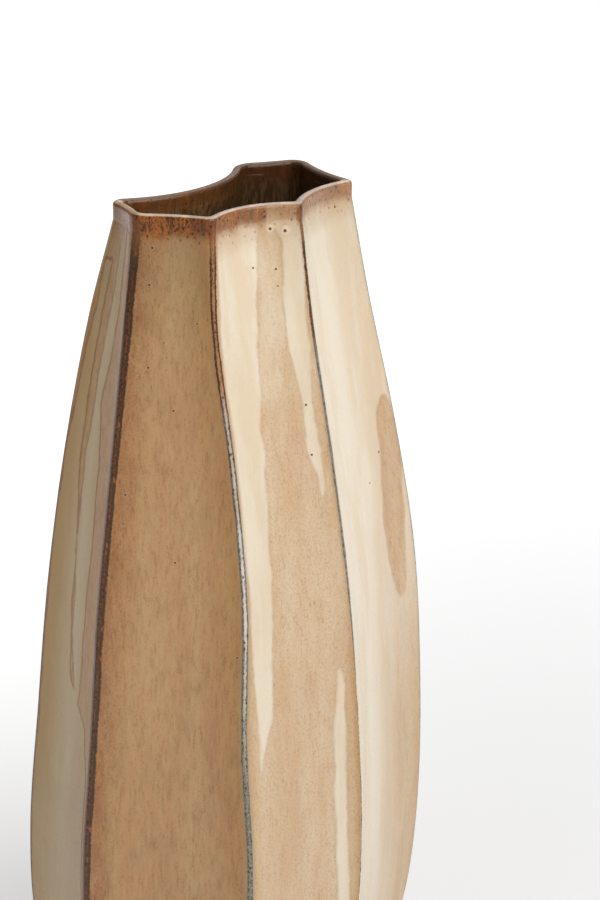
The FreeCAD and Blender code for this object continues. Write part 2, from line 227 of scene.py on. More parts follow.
def wall_at(z):
    """Distance from the glazed outside to the glazed inside."""
    return COAT + RIM_WALL + (BASE_WALL - RIM_WALL) * (1 - min(z, HEIGHT - LIP_ROUND) / HEIGHT) + LINER


widths = [np.ptp(ring_points(z)[:, 0]) for z in LEVELS]
print("width in mm at the stations:", [round(float(width), 1) for width in widths])

# %% [markdown]
# ## Meshes from rings
# Rings with the same number of points are stitched into a skin of quads. For each point we also
# work out its distance from the nearest ridge, which ridge that is, and its place on its panel,
# in millimetres along the surface. A texture image could hold the same, but numbers on the
# points follow the ridges exactly and need no unwrapping. The glaze uses them later on.

# %% Stitching rings together
def ring_facts(points):
    """Ridge distance, nearest ridge, panel number and distance from the panel's left ridge."""
    steps = np.hypot(*(np.roll(points, -1, axis=0) - points).T)
    run = np.concatenate([[0], np.cumsum(steps)])
    around = run[-1]
    middle = (len(NOSE_STEPS) - 1) / 2
    apex = np.array([np.interp(i * COLUMNS + middle, np.arange(len(run)), run) for i in range(RIDGES)])
    places = run[:-1]
    from_apex = (places[:, None] - apex[None, :] + around / 2) % around - around / 2
    nearest = np.argmin(np.abs(from_apex), axis=1)
    gap = from_apex[np.arange(len(places)), nearest]
    panel = np.where(gap >= 0, nearest, (nearest - 1) % RIDGES)
    along = (places - apex[panel]) % around
    return gap, nearest, panel, along


def skin(name, rings):
    """Mesh object stitched from rings given as (x and y points, z), bottom of the list first."""
    count = len(rings[0][0])
    corners = np.concatenate([np.column_stack([points, np.full(count, z)]) for points, z in rings])
    faces = []
    for row in range(len(rings) - 1):
        low = row * count + np.arange(count)
        next_low = row * count + (np.arange(count) + 1) % count
        faces.append(np.stack([low, next_low, next_low + count, low + count], axis=1))
    faces = np.concatenate(faces)
    mesh = bpy.data.meshes.new(name)
    mesh.from_pydata((corners * MM).tolist(), [], faces.tolist())
    mesh.polygons.foreach_set("use_smooth", [True] * len(mesh.polygons))
    thing = bpy.data.objects.new(name, mesh)
    bpy.context.scene.collection.objects.link(thing)
    return thing


def put(thing, name, values):
    """Store one number for each point of a mesh."""
    attribute = thing.data.attributes.new(name, "FLOAT", "POINT")
    attribute.data.foreach_set("value", np.asarray(values, np.float32))


print("points in a ring:", COLUMNS * RIDGES)

# %% [markdown]
# ## Where the cream glaze ran
# The pale glaze ran down the tan one in tongues. Each tongue is a list of rows: a height, and
# the left and right edge at that height, measured in millimetres along the surface from the
# ridge on the left of the panel. From these lists each point of the mesh gets one number: how
# deep it lies inside the nearest tongue, with negative numbers outside. A painted mask would do
# as well for one picture, but rows of sizes can be read, measured and changed. The tongues on
# the three panels that face the camera follow the photo, and the ones at the back are made up.

# %% The tongues on each panel
AB, BC, CD, DE, EF, FG, GA = range(RIDGES)
# panel, rows from top to bottom, and whether the tongue goes on down to the foot
RUNS = [
    (AB, [(376, 4.8, 9.9), (358, 6, 10.2), (341, 4.6, 10.7), (314, 3.7, 11.1), (287, 2, 12.9),
          (250, 1.9, 18.2), (213, 2.4, 21.2), (190, 2.2, 24), (172, 2.2, 40), (150, 2, 46),
          (90, 2, 47), (20, 2, 40)], True),
    (AB, [(393, 14.6, 19.2), (378, 15.6, 20.5), (361, 17, 23.3), (344, 16.5, 23.5), (330, 16, 22.3),
          (317, 16.9, 21.5), (291, 16.6, 27.6), (255, 19.4, 31.8), (228, 22.1, 32.3),
          (205, 24, 32.8), (187, 28.3, 33.3), (172, 30.5, 31)], False),
    (CD, [(392, 2.6, 28), (379, 2.7, 26.6), (363, 3.4, 24.9), (346, 2.7, 23.1), (333, 2.5, 21.5),
          (321, 2.4, 20.2), (310, 2, 18), (295, 2.1, 17.4), (278, 1.9, 15.9), (260, 1.4, 15.2),
          (242, 2.4, 15.2), (224, 3, 14.9), (206, 4.1, 15), (187, 6.8, 15.6), (175, 8.1, 15.1),
          (166, 8.5, 12.6), (159, 8.5, 10.1), (151.5, 8.2, 8.4)], False),
    (CD, [(392, 34.4, 46.9), (384, 37.7, 47.1), (376, 37.5, 47), (359, 36.7, 46.4), (342, 36.2, 46.3),
          (333.5, 36.7, 45.6), (324.7, 38.5, 44.5), (316, 38.7, 43), (307, 38.9, 43.4),
          (298.6, 37.9, 44.3), (292, 38.2, 44.3), (287.5, 40, 44.2), (283, 41.8, 44.1),
          (277.6, 42.1, 43.8), (273, 42.4, 42.9)], False),
    (CD, [(194, 48.1, 48.8), (191, 47.9, 50.1), (186, 47.7, 51.5), (179, 47.4, 52.2),
          (164.6, 46.8, 52.5), (150, 46.5, 52.5), (130, 46.4, 52.3), (105, 46.8, 52.6),
          (80, 48.2, 53.9), (20, 49, 53)], True),
    (EF, [(395, 2, 26), (330, 2, 24), (260, 2, 30), (200, 3, 27), (150, 5, 20), (128, 9, 12)], False),
    (EF, [(395, 38, 47), (320, 40, 50), (262, 43, 52), (224, 46, 51), (205, 48, 49)], False),
    (FG, [(395, 14, 27), (330, 15, 30), (270, 18, 33), (215, 20, 29), (178, 23, 26)], False),
    (FG, [(395, 40, 46), (345, 41, 49), (300, 43, 49), (282, 45, 46)], False),
    (GA, [(395, 8, 22), (340, 10, 28), (280, 13, 31), (230, 15, 27), (186, 18, 24), (170, 20, 21)], False),
]
# the bare patch in the cream of panel DE
WINDOW = [(302, 50.1, 54.1), (297, 46.7, 56.6), (289, 46.1, 58.5), (279, 45.9, 60), (268, 45, 59.7),
          (254, 44.1, 59.1), (240, 43.4, 58.7), (228, 44.5, 58.1), (218, 46.5, 57.6),
          (211.5, 49.1, 56.7), (207.5, 51.6, 54.8)]
print("tongues:", len(RUNS))

# %% [markdown]
# The depth is worked out ring by ring. Beside a tongue it is the distance along the surface to
# the nearer edge, and below its tip or above its top the distance in height counts too, so that
# the ends come out rounded.

# %% How deep each point lies in the cream
def depth_in(rows, z, along, to_foot=False):
    """Signed distance in mm from the edge of one tongue, positive inside it."""
    rows = np.array(sorted(rows))
    left = np.interp(z, rows[:, 0], rows[:, 1])
    right = np.interp(z, rows[:, 0], rows[:, 2])
    inward = (right - left) / 2 - np.abs(along - (left + right) / 2)
    below = 0.0 if to_foot else max(rows[0, 0] - z, 0)
    above = max(z - rows[-1, 0], 0)
    beyond = max(below, above)
    return inward if beyond == 0 else -np.hypot(np.minimum(inward, 0), beyond)


def cream_depth(z, panel, along):
    """Depth inside the cream glaze of every point of one ring."""
    depth = np.full(len(along), -30.0)
    for which, rows, to_foot in RUNS:
        here = panel == which
        depth[here] = np.maximum(depth[here], depth_in(rows, z, along[here], to_foot))
    here = panel == DE
    depth[here] = np.minimum(-depth_in(WINDOW, z, along[here]), 8.0)
    return depth


test_place = np.array([20.0])
print("depth in the middle of a tongue in mm:", cream_depth(340.0, np.array([CD]), test_place))

# %% [markdown]
# ## Where the glaze drew thin
# Along the ridges the glaze pulls away and shows iron brown, or a blue-grey line of ash. Each
# ridge has its own line: how wide it is, and how grey it is from the foot to the lip. The panels
# differ too, because ash falls on the side of a pot that faces the fire. One table for each
# habit keeps these choices in sight, and one function turns them into numbers for every point.

# %% Lines on the ridges and tints of the panels
RIDGE_B, RIDGE_C, RIDGE_D = 1, 2, 3
# per ridge a to g: half width of the line in mm, then greyness at the foot, middle and top
LINES = [(1.3, 0.6, 0.4, 0.1), (2.2, 0.2, 0.3, 0.0), (1.35, 1.0, 0.75, 0.0), (0.7, 1.0, 0.95, 0.3),
         (1.0, 1.0, 0.9, 0.8), (1.2, 0.9, 0.6, 0.2), (1.4, 0.7, 0.3, 0.1)]
# per ridge: how strong the painted highlight on the core of its line is
CORE_HIGHLIGHT = np.array([0.2, 0.0, 1.0, 0.1, 0.1, 0.3, 0.2])
# per panel: how orange and deep its tan glaze is, partly its own colour and partly painted shade on the
# panels turned away from the key lamp
PANEL_TINT_AND_SHADE = np.array([0.8, 1.0, 0.1, 0.45, 0.5, 0.8, 0.8])
# per panel: how faint the iron rim band is
PANEL_WASH = np.array([0.25, 0.0, 0.2, 0.42, 0.2, 0.1, 0.3])
# per panel: how thin the cream lies there, how dark a line the tongues have around them, and how much
# painted shade darkens the panel
PANEL_VEIL = np.array([0.7, 0.3, 0.05, 0.0, 0.2, 0.4, 0.4])
PANEL_OUTLINE_AND_SHADE = np.array([0.9, 0.3, 0.1, 0.05, 0.3, 0.6, 0.8])
print("half widths of the lines in mm:", [line[0] for line in LINES])

# %% [markdown]
# One function gathers all of it. Numbers that jump from one panel to the next, such as the
# tint, are blended near the ridge, because a colour that jumps within one quad leaves a jagged
# edge.

# %% Everything the glaze wants to know
def facts_of(rings):
    """Everything the glaze wants to know, one number per point, for the rings of a skin."""
    facts = {name: [] for name in ("away", "half", "grey", "core_highlight", "cream", "tint_and_shade", "warm",
                                    "veil", "outline", "haze", "wash", "darker_beside_ridges", "lip_highlight")}
    for points, z in rings:
        gap, nearest, panel, along = ring_facts(points)
        half = np.array([line[0] for line in LINES])[nearest]
        # ridge d has only a hairline below 180 mm
        half = np.where(nearest == RIDGE_D, half * np.interp(z, (180, 250), (0.15, 1)), half)
        grey = np.array([np.interp(z, (40, 240, 385), line[1:]) for line in LINES])[nearest]
        facts["away"].append(np.abs(gap))
        facts["half"].append(half)
        facts["grey"].append(grey)
        # the painted highlight on the core of the line fades out low on the ridges
        facts["core_highlight"].append(CORE_HIGHLIGHT[nearest] * np.interp(z, (150, 220), (0.1, 1)))
        facts["cream"].append(cream_depth(z, panel, along))
        # the tint is partly painted shade on the panels turned away from the key lamp
        blend = np.clip(np.abs(gap) / 3, 0, 1)
        facts["tint_and_shade"].append(PANEL_TINT_AND_SHADE[panel] * blend + 0.6 * (1 - blend))
        # rust fades out within 17 mm to the right of ridge b
        right_of_b = (nearest == RIDGE_B) & (gap > 0)
        facts["warm"].append(np.where(right_of_b, np.clip(1 - gap / 17, 0, 1) ** 1.5, 0))
        # the cream of panel DE thins towards its right side
        thin = np.clip((along - 18) / 34, 0, 1) * np.interp(z, (150, 250), (1, 0.4))
        facts["veil"].append(np.where(panel == DE, thin, PANEL_VEIL[panel]))
        # this number also sets how much painted shade darkens the khaki panels
        facts["outline"].append(PANEL_OUTLINE_AND_SHADE[panel])
        # height above the place where the faint haze begins, and no haze on panel DE
        facts["haze"].append(np.where(panel == CD, z - 316, np.where(panel == DE, -30, z - 385)))
        # the band is worn thin in one patch of panel CD
        left, right = np.clip((along - 31) / 1.5, 0, 1), np.clip((46 - along) / 1.5, 0, 1)
        patch = 0.75 * (panel == CD) * left * right
        facts["wash"].append(np.maximum(PANEL_WASH[panel], patch))
        # darker and more orange to the left of ridge c, and low down also at the edge of panel CD
        low = np.interp(z, (200, 225), (1, 0))
        beside_c = np.where(gap < 0, np.clip(1 + gap / 15, 0, 1), low * np.clip(1 - gap / 8, 0, 1))
        beside_d = np.where(gap < 0, low * np.clip(1 + gap / 8, 0, 1), 0)
        beside_d = np.where(nearest == RIDGE_D, beside_d, 0)
        facts["darker_beside_ridges"].append(np.where(nearest == RIDGE_C, beside_c, beside_d))
        # painted highlight on the lip top: full on the front panels, a quarter on the back ones
        facts["lip_highlight"].append(np.where(panel <= DE, 1.0, 0.25))
    return {name: np.concatenate(values) for name, values in facts.items()}


print("numbers per point:", len(facts_of([(ring_points(200.0), 200.0)])))

# %% [markdown]
# ## The wall
# The wall is the vase itself: an outside skin from the glaze line above the foot up to the rim,
# and an inside skin from the rim down to the floor, where it turns in a soft cove. A solidify
# modifier could make the inside too, but it would copy every sharp ridge, while a real cavity
# is rounder than the outside and the wall grows thicker towards the foot.

# %% The glazed wall, outside and inside
RIM_BASE = HEIGHT - LIP_DIP
outer = [(ring_points(GLAZE_LINE, COAT), GLAZE_LINE), (ring_points(5.25, 0.15), 5.25)]
outer += [(ring_points(z), z) for z in np.linspace(5.8, RIM_BASE, 222)]
inner = []
cove_levels = [24, 19, 15, 12, 10, FLOOR_TOP]
for z in np.concatenate([np.linspace(RIM_BASE, 340, 12), np.linspace(332, 30, 30), cove_levels]):
    rise_share = min((z - FLOOR_TOP) / COVE_HEIGHT, 1)
    cove = FLOOR_COVE * (1 - math.sqrt(max(0, 1 - (1 - rise_share) ** 2)))
    inner.append((ring_points(z, wall_at(z) + cove, inside=True), float(z)))
floor_ring = inner[-1][0]
middle = floor_ring.mean(axis=0)
for share in (0.96, 0.8, 0.5, 0.2, 0.02):
    inner.append((middle + (floor_ring - middle) * share, FLOOR_TOP))

outside = skin("fluted_wall_outside", outer)
inside = skin("fluted_wall_inside", inner)
for thing, rings, within in ((outside, outer, 0.0), (inside, inner, 1.0)):
    for name, values in facts_of(rings).items():
        put(thing, name, values)
    put(thing, "inside", np.full(len(thing.data.vertices), within))
with bpy.context.temp_override(active_object=outside, selected_editable_objects=[outside, inside]):
    bpy.ops.object.join()
wall = outside
wall.name = "glazed_wall"
print("wall faces:", len(wall.data.polygons))

# %% [markdown]
# ## The rim
# The lip of such a pot is smoothed round before it is glazed. Here it is a straight band that
# turns over in a quarter round and drops into the vase. It could be a bevel on the wall, but it
# is a piece of its own, so that its iron glaze can be a slot of its own.

# %% The rim
lip_wall = wall_at(RIM_BASE)
turns = np.linspace(0, math.pi / 2, 9)
rim_rings = [(ring_points(z), float(z)) for z in np.linspace(RIM_BASE, HEIGHT - LIP_ROUND, 7)]
for turn in turns[1:]:
    z = HEIGHT - LIP_ROUND * (1 - math.sin(turn))
    rim_rings.append((ring_points(z, LIP_ROUND * (1 - math.cos(turn))), z))
for turn in turns[::-1]:
    z = HEIGHT - LIP_ROUND * (1 - math.sin(turn))
    rim_rings.append((ring_points(z, lip_wall - LIP_ROUND * (1 - math.cos(turn)), True), z))
drop_levels = np.linspace(HEIGHT - LIP_ROUND, RIM_BASE, 7)[1:]
rim_rings += [(ring_points(z, lip_wall, True), float(z)) for z in drop_levels]
rim = skin("iron_rim", rim_rings)
for name, values in facts_of(rim_rings).items():
    put(rim, name, values)
outer_count = 7 + len(turns) - 1
within = [0.0] * outer_count + [1.0] * (len(rim_rings) - outer_count)
put(rim, "inside", np.repeat(within, len(rim_rings[0][0])))
print("rim faces:", len(rim.data.polygons))

# %% [markdown]
# ## The foot
# Glaze would stick the pot to the kiln shelf, so the foot is left as bare clay, with a bevelled
# edge. A shallow recess below makes the vase stand on a ring. The same rings as for the wall
# make it, so that it meets the glaze without a gap.

# %% The bare foot
hollow = ring_points(0, COAT + FOOT_RING, inside=True)
centre = hollow.mean(axis=0)
foot_rings = [(centre + (hollow - centre) * share, FOOT_RECESS) for share in (0.02, 0.4, 0.8, 1)]
foot_rings += [(hollow, 0.0), (ring_points(0, COAT + FOOT_BEVEL), 0.0)]
foot_rings += [(ring_points(0, COAT + FOOT_BEVEL / 3), FOOT_BEVEL / 3)]
foot_rings += [(ring_points(z, COAT), z) for z in (FOOT_BEVEL, 3.0, GLAZE_LINE)]
foot = skin("bare_foot", foot_rings)
print("foot faces:", len(foot.data.polygons))

# %% [markdown]
# ## Riding and replacing
# Each mesh rides on the vase's only body and takes the place of one CAD node, so that the vase
# moves with its physics and nothing is drawn twice.

# %% Riding on the frame
for piece, node, name in ((foot, "foot_slab", "bare_stoneware"), (wall, "fluted_wall", "body_glaze"),
                          (rim, "rim_glaze", "rim_glaze")):
    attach(piece, "root")
    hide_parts(node)
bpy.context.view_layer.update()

# %% [markdown]
# ## Small tools for shader nodes
# These helpers add one node each and wire it up, so that the materials below read almost like
# formulas. Colours are written as the 0 to 255 numbers that a colour picker shows.

# %% Node helpers
def srgb(red, green, blue):
    """Linear colour from the numbers of a colour picker."""
    parts = [value / 255 for value in (red, green, blue)]
    return [p / 12.92 if p <= 0.04045 else ((p + 0.055) / 1.055) ** 2.4 for p in parts] + [1.0]


def wire(tree, socket, value):
    """Link an output into a socket, or set the socket to a constant."""
    if isinstance(value, bpy.types.NodeSocket):
        tree.links.new(value, socket)
    elif value is not None:
        socket.default_value = value


def maths(tree, operation, *values, clamp=False):
    node = tree.nodes.new("ShaderNodeMath")
    node.operation = operation
    node.use_clamp = clamp
    for socket, value in zip(node.inputs, values):
        wire(tree, socket, value)
    return node.outputs[0]


def ramp(tree, value, low, high, to_low=0.0, to_high=1.0):
    """Smooth step from to_low at low to to_high at high."""
    node = tree.nodes.new("ShaderNodeMapRange")
    node.interpolation_type = "SMOOTHSTEP"
    names = ("Value", "From Min", "From Max", "To Min", "To Max")
    for name, given in zip(names, (value, low, high, to_low, to_high)):
        wire(tree, node.inputs[name], given)
    return node.outputs["Result"]


def mix(tree, factor, first, second, blend="MIX"):
    node = tree.nodes.new("ShaderNodeMix")
    node.data_type = "RGBA"
    node.blend_type = blend
    for index, value in ((0, factor), (6, first), (7, second)):
        wire(tree, node.inputs[index], value)
    return node.outputs[2]


print("an orange brown:", [round(value, 3) for value in srgb(162, 107, 60)])

# %% [markdown]
# ## Textures and groups
# Noise and scattered cells are the two patterns that a kiln needs. Groups let several materials
# share one recipe. The wall, the rim and the foot all look fired in the same kiln because they
# really use the same group.

# %% Textures and groups
def stretched(tree, vector, scale):
    """Coordinates multiplied along x, y and z."""
    node = tree.nodes.new("ShaderNodeVectorMath")
    node.operation = "MULTIPLY"
    wire(tree, node.inputs[0], vector)
    wire(tree, node.inputs[1], scale)
    return node.outputs[0]


def noise(tree, vector, scale, detail=2.0, rough=0.5):
    node = tree.nodes.new("ShaderNodeTexNoise")
    for name, value in (("Vector", vector), ("Scale", scale), ("Detail", detail), ("Roughness", rough)):
        wire(tree, node.inputs[name], value)
    return node.outputs["Fac"]


def cells(tree, vector, scale):
    """Distance to the nearest of many scattered points."""
    node = tree.nodes.new("ShaderNodeTexVoronoi")
    wire(tree, node.inputs["Vector"], vector)
    wire(tree, node.inputs["Scale"], scale)
    return node.outputs["Distance"], node.outputs["Color"]


def attribute(tree, name):
    node = tree.nodes.new("ShaderNodeAttribute")
    node.attribute_name = name
    return node.outputs["Fac"]


def group(name, inputs, outputs):
    """An empty node group with named sockets."""
    tree = bpy.data.node_groups.new(name, "ShaderNodeTree")
    for label, kind in inputs:
        tree.interface.new_socket(label, in_out="INPUT", socket_type=kind)
    for label, kind in outputs:
        tree.interface.new_socket(label, in_out="OUTPUT", socket_type=kind)
    return tree, tree.nodes.new("NodeGroupInput").outputs, tree.nodes.new("NodeGroupOutput").inputs


def use(tree, shared, **values):
    """Place a shared node group in a tree."""
    node = tree.nodes.new("ShaderNodeGroup")
    node.node_tree = shared
    for name, value in values.items():
        wire(tree, node.inputs[name.replace("_", " ")], value)
    return node.outputs


FLOAT, COLOR = "NodeSocketFloat", "NodeSocketColor"
print("kinds of socket:", FLOAT, COLOR)

# %% [markdown]
# ## Kiln noise
# Every fired surface of the vase shares the same irregularity: broad clouds, fine streaks that
# run downwards, a fine grain, and scattered dark specks of iron.

# %% Shared kiln noise
kiln_names = ("Cloud", "Mottle", "Drip", "Streak", "Grain", "Specks", "Freckles")
kiln, _, out = group("Kiln noise", [], [(name, FLOAT) for name in kiln_names])
place = kiln.nodes.new("ShaderNodeTexCoord").outputs["Object"]
in_mm = stretched(kiln, place, (1000, 1000, 1000))
wire(kiln, out["Cloud"], noise(kiln, in_mm, 0.03, 3))
wire(kiln, out["Mottle"], noise(kiln, stretched(kiln, in_mm, (1, 1, 0.4)), 0.16, 5, 0.65))
wire(kiln, out["Drip"], noise(kiln, stretched(kiln, in_mm, (1, 1, 0.09)), 0.085, 4, 0.6))
wire(kiln, out["Streak"], noise(kiln, stretched(kiln, in_mm, (1, 1, 0.16)), 0.7, 4, 0.6))
wire(kiln, out["Grain"], noise(kiln, stretched(kiln, in_mm, (1, 1, 0.6)), 1.5, 4, 0.7))
# name, how many per mm, how wide each is, how many of them are left out, and how they are drawn out
SPOTS = [("Specks", 0.55, 0.34, 0.45, 0.7), ("Freckles", 0.42, 0.3, 0.5, 0.4)]
for name, size, spread, rarity, long in SPOTS:
    distance, chance = cells(kiln, stretched(kiln, in_mm, (1, 1, long)), size)
    lone = maths(kiln, "GREATER_THAN", chance, rarity)
    dot = ramp(kiln, distance, spread / 2, spread, 1, 0)
    wire(kiln, out[name], maths(kiln, "MULTIPLY", dot, lone))
print("kiln noises:", kiln_names)

# %% [markdown]
# ## Pinholes and burst bubbles
# The photo shows a few holes in the glaze. Each has a panel, a height, a place along the panel
# and a radius, and turns into a point on the skin. There the glaze dips and darkens, and around
# it stands a paler ring. The two widest are burst bubbles, with a small hole in a broad ring.

# %% Shared pinholes
HOLES = [
    (CD, 389.3, 33.3, 1.0), (CD, 388.1, 39.7, 1.1), (CD, 374.2, 23.9, 0.7), (CD, 372.5, 34.5, 0.8),
    (CD, 365.4, 34.8, 0.6), (CD, 313.9, 40.4, 0.8), (CD, 292.1, 40.0, 0.8), (BC, 386.1, 7.7, 0.9),
    (BC, 370.7, 7.8, 0.8), (BC, 355.2, 29.9, 0.6), (BC, 346.5, 16.6, 0.5), (BC, 335.8, 10.9, 0.8),
    (BC, 317.4, 23.4, 0.8), (BC, 281.1, 6.5, 0.8), (BC, 268.3, 6.9, 0.6), (BC, 250.8, 30.8, 0.8),
    (BC, 209.4, 61.2, 0.7), (DE, 389.9, 34.5, 0.8), (DE, 278.2, 45.0, 0.8), (DE, 266.9, 35.0, 0.6),
    (AB, 305.1, 24.6, 0.7), (AB, 375.8, 8.4, 0.7),
]
BURST_RADIUS = 0.95
BURST_RING = 2.5
SMALL_RING = 1.5


def skin_point(panel, z, along):
    """Point on the outside of the wall, in metres."""
    points = ring_points(z)
    _, _, panels, places = ring_facts(points)
    here = np.flatnonzero(panels == panel)
    here = here[np.argsort(places[here])]
    return [float(np.interp(along, places[here], points[here, axis])) * MM for axis in (0, 1)] + [z * MM]


pinholes, _, out = group("Pinholes", [], [("Hole", FLOAT), ("Halo", FLOAT)])
place = pinholes.nodes.new("ShaderNodeTexCoord").outputs["Object"]
hole, halo = 0.0, 0.0
for panel, z, along, radius in HOLES:
    node = pinholes.nodes.new("ShaderNodeVectorMath")
    node.operation = "DISTANCE"
    wire(pinholes, node.inputs[0], place)
    wire(pinholes, node.inputs[1], skin_point(panel, z, along))
    radii = maths(pinholes, "DIVIDE", node.outputs["Value"], radius * MM)
    hole = maths(pinholes, "MAXIMUM", hole, ramp(pinholes, radii, 0.42, 0.82, 1, 0))
    ring, strength = (BURST_RING, 1.0) if radius > BURST_RADIUS else (SMALL_RING, 0.4)
    halo = maths(pinholes, "MAXIMUM", halo, ramp(pinholes, radii, 0.4 * ring, ring, strength, 0))
wire(pinholes, out["Hole"], hole)
wire(pinholes, out["Halo"], halo)
print("pinholes:", len(HOLES))

# %% [markdown]
# ## The glaze itself
# One shared group turns the numbers stored on the points into a colour, a roughness and a
# height for the bump. Wall and rim both use it, so nothing changes where they meet. This cell
# only gathers what the group reads: the stored numbers, the noises, the pinholes and the height.

# %% What the glaze reads
names = ("away", "half", "grey", "core_highlight", "cream", "tint_and_shade", "warm", "veil", "outline", "haze", "wash",
         "darker_beside_ridges", "lip_highlight", "inside")
glaze, _, out = group("Vase glaze", [], [("Color", COLOR), ("Roughness", FLOAT), ("Height", FLOAT)])
facts = {name: attribute(glaze, name) for name in names}
rough = use(glaze, kiln)
holes = use(glaze, pinholes)
cloud, mottle, drip, streak, grain, specks, freckles = [rough[name] for name in kiln_names]
parts = glaze.nodes.new("ShaderNodeSeparateXYZ")
wire(glaze, parts.inputs[0], glaze.nodes.new("ShaderNodeTexCoord").outputs["Object"])
height = maths(glaze, "MULTIPLY", parts.outputs["Z"], 1000.0)


def times(first, second):
    return maths(glaze, "MULTIPLY", first, second)


def plus(first, second):
    return maths(glaze, "ADD", first, second)


def scaled(value, gain, offset):
    """Value times gain plus offset, each of them a number or another mask."""
    return maths(glaze, "MULTIPLY_ADD", value, gain, offset)


def both(first, share, second):
    """Weighted sum of two noises: share of the first and the rest of the second."""
    return scaled(first, share, times(second, round(1 - share, 3)))


def rise(value, low, high, to_low=0.0, to_high=1.0):
    return ramp(glaze, value, low, high, to_low, to_high)


def paint(factor, under, over, blend="MIX"):
    return mix(glaze, factor, under, over, blend)


print("the glaze reads", len(facts), "numbers per point")

# %% [markdown]
# ## Tan glaze
# The ground colour is a tan ash glaze. It is pale on the front panels and a deeper orange brown
# on the ones turned away from the key lamp, partly the glaze's own colour and partly painted shade.
# Broad blotches, a fine grain and short dashes that run downwards keep it from looking printed.
# It turns sandy just below the lip, darker and more orange beside two ridges and rusty to the right of
# ridge b.

# %% Tan glaze
blotch = rise(both(drip, 0.6, mottle), 0.36, 0.64)
pale_tan = paint(blotch, srgb(216, 184, 148), srgb(227, 204, 173))
deep_tan = paint(blotch, srgb(189, 145, 103), srgb(195, 160, 116))
# the deep tan on the panels turned away from the key lamp is partly painted shade
tan = paint(facts["tint_and_shade"], pale_tan, deep_tan)
tan = paint(times(rise(mottle, 0.46, 0.66, 0.0, 0.36), facts["tint_and_shade"]), tan, srgb(158, 120, 84))
tan = paint(times(rise(mottle, 0.5, 0.3, 0.0, 0.3), facts["tint_and_shade"]), tan, srgb(204, 166, 122))
tan = paint(rise(height, 300.0, 390.0, 0, 0.3), tan, srgb(196, 176, 136))
tan = paint(rise(grain, 0.44, 0.66, 0.0, 0.34), tan, srgb(178, 130, 88))
dashes = rise(both(grain, 0.4, streak), 0.5, 0.62)
tan = paint(times(dashes, rise(facts["tint_and_shade"], 0.0, 1.0, 0.14, 0.4)), tan, srgb(150, 102, 64))
tan = paint(rise(streak, 0.46, 0.34, 0.0, 0.12), tan, srgb(208, 190, 152))
# darker and more orange beside ridges c and d
tan = paint(times(facts["darker_beside_ridges"], 0.8), tan, (0.84, 0.74, 0.55, 1), "MULTIPLY")
fuzz = rise(both(grain, 0.6, mottle), 0.36, 0.6, 0.25, 1)
tan = paint(times(facts["warm"], fuzz), tan, srgb(142, 90, 54))
print("nodes after the tan glaze:", len(glaze.nodes))

# %% [markdown]
# ## Cream tongues
# The cream glaze lies over the tan one. The stored depth says how far inside a tongue a point
# lies, and noise makes the edge wander. A faint haze of cream covers the top of two panels.
# Where the cream is thin, the colour below shows through as a veil, and on the shaded panels
# a brown line is drawn around each tongue.

# %% Cream tongues
edge = plus(facts["cream"], scaled(mottle, 4.0, -2.0))
edge = plus(edge, scaled(grain, 0.8, -0.4))
runs = rise(edge, -0.9, 1.2)
hazy = plus(facts["haze"], scaled(mottle, 26.0, -13.0))
hazy = times(rise(hazy, -3.0, 4.0), rise(drip, 0.3, 0.65, 0.05, 0.36))
hazy = times(hazy, scaled(facts["tint_and_shade"], -0.7, 1.0))
cream_tone = paint(rise(drip, 0.38, 0.62), srgb(231, 213, 186), srgb(238, 225, 204))
cream_tone = paint(rise(grain, 0.5, 0.75, 0, 0.25), cream_tone, srgb(206, 176, 140))
khaki = paint(facts["outline"], tan, srgb(172, 147, 103))
cream_tone = paint(times(facts["veil"], 0.85), cream_tone, khaki)
drawn = times(rise(edge, -1.5, -0.3), rise(edge, -0.3, 0.5, 1, 0))
color = paint(maths(glaze, "MAXIMUM", runs, hazy), tan, cream_tone)
color = paint(times(drawn, times(facts["outline"], 0.75)), color, srgb(146, 102, 68))
print("nodes after the cream:", len(glaze.nodes))

# %% [markdown]
# ## Lines on the ridges
# Glaze pulls away from a sharp ridge while it melts. The line that is left is brown or blue-grey
# ash, with dark edges and a soft stain on either side; on ridge c its core carries a painted
# highlight. Noise is taken off the distance to the ridge, so that the line swells and thins as it climbs.

# %% Lines on the ridges
away = maths(glaze, "SUBTRACT", facts["away"], scaled(mottle, 1.2, -0.6))
away = maths(glaze, "SUBTRACT", away, scaled(grain, 1.6, -0.8))
away = maths(glaze, "DIVIDE", away, facts["half"])
line = rise(away, 0.9, 1.2, 1, 0)
core = rise(away, 0.2, 0.6, 1, 0)
stain = rise(away, 1.0, 3.0, 0.3, 0)
# painted highlight on the core of the line, orange on brown and lilac white on ash
core_highlight = times(facts["core_highlight"], rise(both(mottle, 0.5, streak), 0.36, 0.5, 0.4, 0.95))
grey = rise(plus(facts["grey"], scaled(cloud, 0.8, -0.4)), 0.35, 0.65)
brown = paint(rise(grain, 0.38, 0.62), srgb(70, 44, 26), srgb(130, 82, 48))
brown = paint(times(core_highlight, 0.7), brown, srgb(204, 150, 104))
ash = paint(rise(grain, 0.38, 0.62), srgb(104, 98, 88), srgb(150, 142, 128))
ash = paint(core_highlight, ash, srgb(228, 220, 214))
ash_edge = paint(rise(grain, 0.45, 0.6), srgb(92, 92, 82), srgb(152, 148, 132))
dark = paint(grey, srgb(78, 56, 38), ash_edge)
color = paint(stain, color, paint(grey, srgb(176, 124, 80), srgb(160, 146, 122)))
color = paint(line, color, paint(core, dark, paint(grey, brown, ash)))
print("nodes after the lines:", len(glaze.nodes))

# %% [markdown]
# ## Iron rim band
# The lip was dipped in an iron glaze, which fired to a speckled orange brown and frayed where
# it ran into the glaze below. The stored wash says where the band is so thin that it hardly
# shows.

